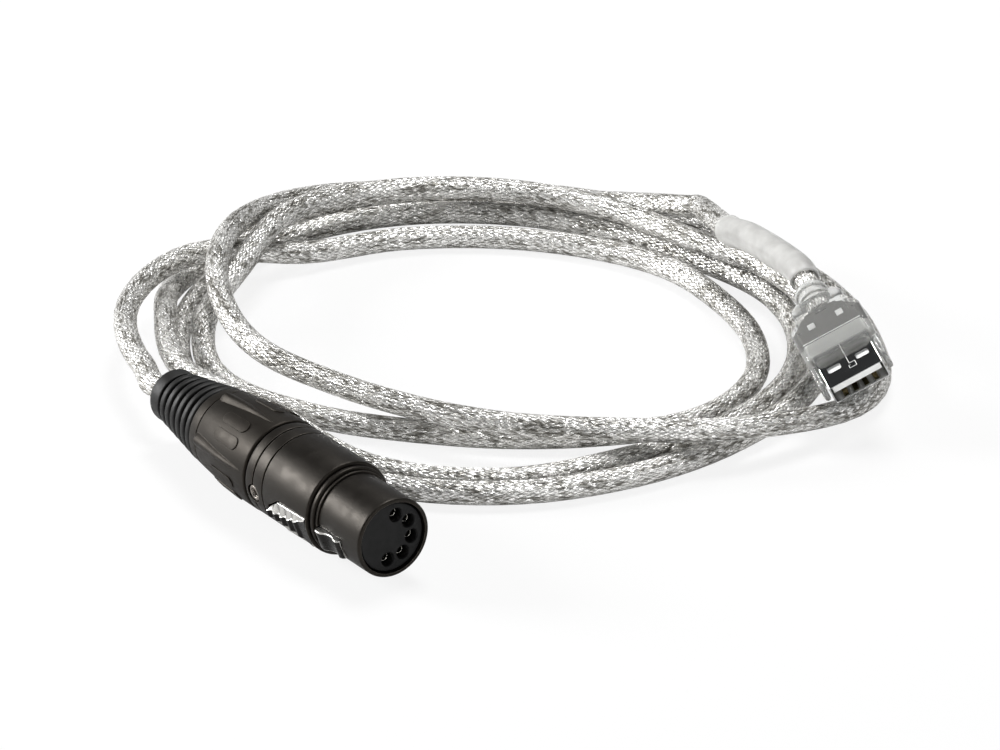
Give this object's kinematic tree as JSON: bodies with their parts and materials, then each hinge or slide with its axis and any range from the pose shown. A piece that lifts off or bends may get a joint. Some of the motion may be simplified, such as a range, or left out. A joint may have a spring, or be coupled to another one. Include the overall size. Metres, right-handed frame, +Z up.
{
  "type": "usb dmx interface",
  "caption": "USB to DMX adapter cable: round locking connector holding the converter board, looped clear-jacketed cable, clear moulded USB plug.",
  "frame": {"origin": "on the surface that the connector lies on, under the middle of the connector", "axes": "+X along the connector to its mating face, +Z up, the cable loops and the USB plug lie towards +Y"},
  "size_m": [0.1543, 0.1601, 0.0236],
  "materials": {
    "shell_metal": "satin black-brown",
    "boot_rubber": "matt",
    "nut_polymer": "satin",
    "inner_plastic": "matt",
    "insert_plastic": "matt",
    "contact_metal": "bright plated",
    "board_green": "satin",
    "chip_black": "matt",
    "can_silver": "satin",
    "wire_red": "satin",
    "wire_white": "satin",
    "wire_green": "satin",
    "wire_black": "satin",
    "latch_metal": "nickel plated",
    "spring_steel": "bright",
    "plug_steel": "bright",
    "tongue_white": "satin",
    "dark_can": "dark plated",
    "clear_mould": "clear moulded",
    "frosted_sleeve": "frosted",
    "cable_jacket": "clear jacket over silver braid"
  },
  "bodies": {
    "connector": {"connector_shell": "shell_metal", "boot_sleeve": "boot_rubber", "boot_nut": "nut_polymer", "strain_relief_chuck": "inner_plastic", "cable_inner_end": "cable_jacket", "contact_insert": "insert_plastic", "contact_1": "contact_metal", "contact_2": "contact_metal", "contact_3": "contact_metal", "contact_4": "contact_metal", "contact_5": "contact_metal", "board_cradle": "inner_plastic", "circuit_board": "board_green", "usb_bridge_chip": "chip_black", "line_driver_chip": "chip_black", "crystal": "can_silver", "capacitor_1": "can_silver", "capacitor_2": "can_silver", "wire_1": "wire_red", "wire_2": "wire_white", "wire_3": "wire_green", "wire_4": "wire_black", "latch_pin": "spring_steel", "latch_spring": "spring_steel", "insert_screw": "spring_steel", "usb_shell": "plug_steel", "usb_tongue": "tongue_white", "usb_contact_1": "contact_metal", "usb_contact_2": "contact_metal", "usb_contact_3": "contact_metal", "usb_contact_4": "contact_metal", "usb_shield_can": "dark_can", "usb_overmould": "clear_mould", "cable_plug_end": "cable_jacket", "cable_sleeve": "frosted_sleeve", "cable_lead": "cable_jacket", "cable_coil": "cable_jacket", "cable_tail": "cable_jacket"},
    "latch": {"latch_lever": "latch_metal"}
  },
  "joints": [
    {"name": "latch_press", "type": "hinge", "parent": "connector", "child": "latch", "pos_m": [0.0084, -0.00486, 0.00762], "axis": [0, -0.3584, 0.9336], "range_deg": [0, 1.5], "stiffness_Nm_per_rad": 0.2, "springref_deg": -1.15}
  ]
}
